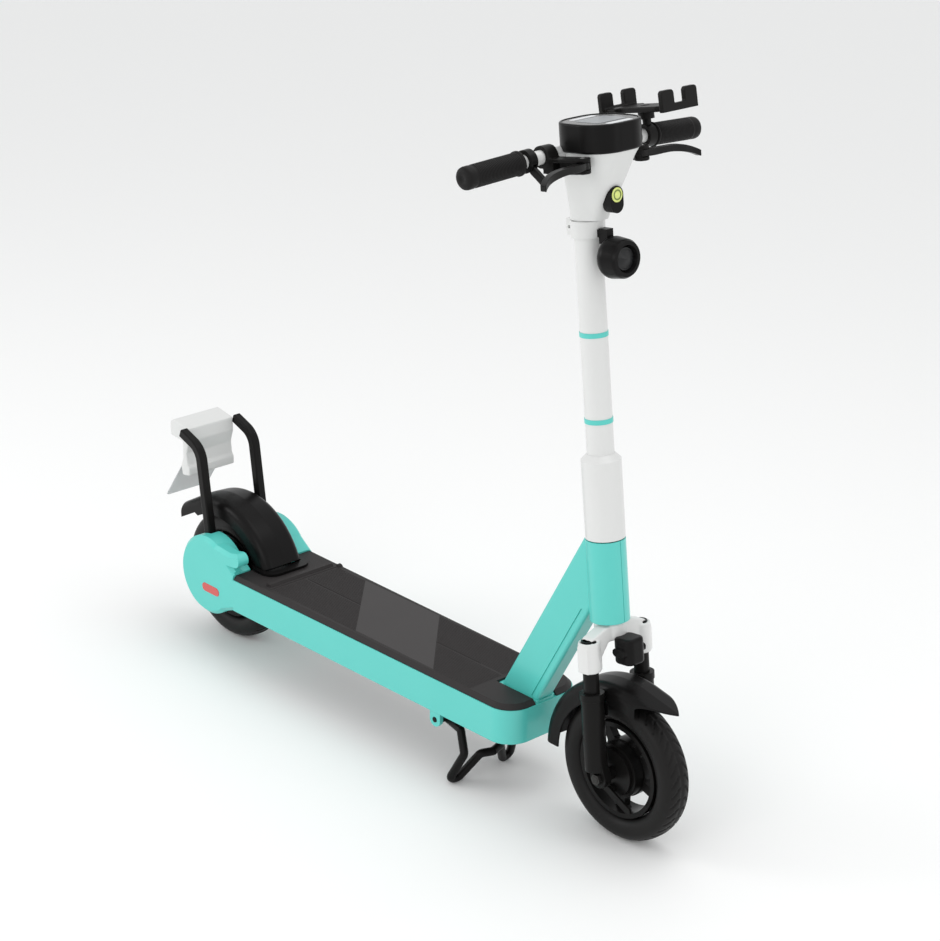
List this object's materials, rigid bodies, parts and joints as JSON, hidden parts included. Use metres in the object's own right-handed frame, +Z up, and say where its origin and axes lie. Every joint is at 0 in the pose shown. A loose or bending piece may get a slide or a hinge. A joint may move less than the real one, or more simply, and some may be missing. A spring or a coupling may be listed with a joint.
{
  "type": "electric kick scooter",
  "caption": "Electric kick scooter with teal deck and neck, white stem, sprung fork, rear hub motor, centre stand, phone holder and rear plate bracket.",
  "frame": {"origin": "on the ground under the middle of the scooter's overall length and width", "axes": "+X forward, +Y the rider's left, +Z up"},
  "size_m": [1.332, 0.5086, 1.2292],
  "materials": {
    "teal_paint": "satin",
    "white_paint": "satin",
    "white_plastic": "satin",
    "teal_trim": "satin",
    "black_plastic": "satin",
    "black_metal": "satin",
    "mat_rubber": "matte",
    "grip_rubber": "matte",
    "tyre_rubber": "matte",
    "steel": "brushed",
    "alloy": "satin",
    "display_glass": "gloss",
    "lamp_green": "gloss",
    "lamp_clear": "gloss",
    "red_lens": "gloss",
    "plate_sheet": "satin"
  },
  "bodies": {
    "frame": {"deck_shell": "teal_paint", "bottom_cover": "black_metal", "bottom_cover_screws": "steel", "battery_pack": "black_plastic", "motor_controller": "alloy", "neck_frame": "teal_paint", "deck_mat": "mat_rubber", "rear_housing_right": "teal_trim", "rear_housing_left": "teal_trim", "side_markers": "red_lens", "rear_dropouts": "black_metal", "rear_axle": "steel", "motor_stator": "steel", "rear_fender": "black_plastic", "plate_arms": "black_metal", "plate_carrier": "white_plastic", "number_plate": "plate_sheet", "tail_lamp_lens": "red_lens", "stand_pin": "steel", "headset_bearings": "steel"},
    "steering": {"steerer_tube": "steel", "stem_tube": "white_paint", "stem_sleeve": "white_paint", "stem_bands": "teal_trim", "stem_collar": "white_paint", "stem_head": "white_plastic", "handlebar": "white_paint", "grip_right": "grip_rubber", "grip_left": "grip_rubber", "brake_perches": "black_metal", "lever_pins": "steel", "throttle_body": "black_plastic", "switch_pod": "black_plastic", "display_housing": "black_plastic", "display_face": "display_glass", "indicator_bezel": "black_plastic", "indicator_lens": "lamp_green", "headlight_housing": "black_plastic", "headlight_lens": "lamp_clear", "phone_clamp": "black_plastic", "fork_crown": "white_paint", "horn": "black_plastic", "fork_stanchions": "black_metal"},
    "fork_lower": {"fork_lower_legs": "black_metal", "front_fender": "black_plastic", "front_axle": "steel", "brake_plate": "alloy", "fork_springs": "steel"},
    "front_wheel": {"front_wheel": "black_metal", "front_tyre": "tyre_rubber", "front_wheel_bearings": "steel"},
    "rear_wheel": {"rear_wheel": "black_metal", "rear_tyre": "tyre_rubber"},
    "brake_lever_right": {"brake_lever_right": "black_metal"},
    "brake_lever_left": {"brake_lever_left": "black_metal"},
    "throttle_paddle": {"throttle_paddle": "black_plastic"},
    "horn_button": {"horn_button": "black_plastic"},
    "centre_stand": {"centre_stand": "black_metal"},
    "phone_cradle": {"phone_cradle": "black_plastic"},
    "phone_jaw": {"phone_jaw": "black_plastic"}
  },
  "joints": [
    {"name": "steering", "type": "hinge", "parent": "frame", "child": "steering", "pos_m": [0.52213, 0, 0.12493], "axis": [-0.1219, 0, 0.9925], "range_deg": [-50, 50]},
    {"name": "fork_travel", "type": "slide", "parent": "steering", "child": "fork_lower", "axis": [-0.1219, 0, 0.9925], "range_m": [0, 0.022], "stiffness_N_per_m": 15000, "springref_m": -0.02, "deforming": ["fork_springs"]},
    {"name": "front_wheel_spin", "type": "hinge", "parent": "fork_lower", "child": "front_wheel", "pos_m": [0.539, 0, 0.127], "axis": [0, 1, 0], "continuous": true},
    {"name": "rear_wheel_spin", "type": "hinge", "parent": "frame", "child": "rear_wheel", "pos_m": [-0.506, 0, 0.127], "axis": [0, 1, 0], "continuous": true},
    {"name": "brake_lever_right_pull", "type": "hinge", "parent": "steering", "child": "brake_lever_right", "pos_m": [0.46011, -0.064, 1.13873], "axis": [0.1219, 0, -0.9925], "range_deg": [0, 22], "stiffness_Nm_per_rad": 2, "springref_deg": -14.9},
    {"name": "brake_lever_left_pull", "type": "hinge", "parent": "steering", "child": "brake_lever_left", "pos_m": [0.46011, 0.064, 1.13873], "axis": [-0.1219, 0, 0.9925], "range_deg": [0, 22], "stiffness_Nm_per_rad": 2, "springref_deg": -14.9},
    {"name": "throttle_swing", "type": "hinge", "parent": "steering", "child": "throttle_paddle", "pos_m": [0.3971, -0.12073, 1.14316], "axis": [-0.0051, 0.9991, 0.0416], "range_deg": [0, 35], "stiffness_Nm_per_rad": 0.3, "springref_deg": -20.05},
    {"name": "horn_press", "type": "slide", "parent": "steering", "child": "horn_button", "axis": [0.9925, 0, 0.1219], "range_m": [0, 0.0025], "stiffness_N_per_m": 800, "springref_m": -0.001},
    {"name": "stand_fold", "type": "hinge", "parent": "frame", "child": "centre_stand", "pos_m": [0.165, -0.032, 0.097], "axis": [0, 1, 0], "range_deg": [0, 118]},
    {"name": "phone_cradle_swivel", "type": "hinge", "parent": "steering", "child": "phone_cradle", "pos_m": [0.39164, 0.1422, 1.18441], "axis": [-0.2079, 0, 0.9781], "range_deg": [-15, 90]},
    {"name": "phone_jaw_slide", "type": "slide", "parent": "phone_cradle", "child": "phone_jaw", "axis": [0.9781, 0, 0.2079], "range_m": [0, 0.02], "stiffness_N_per_m": 150, "springref_m": -0.02}
  ]
}
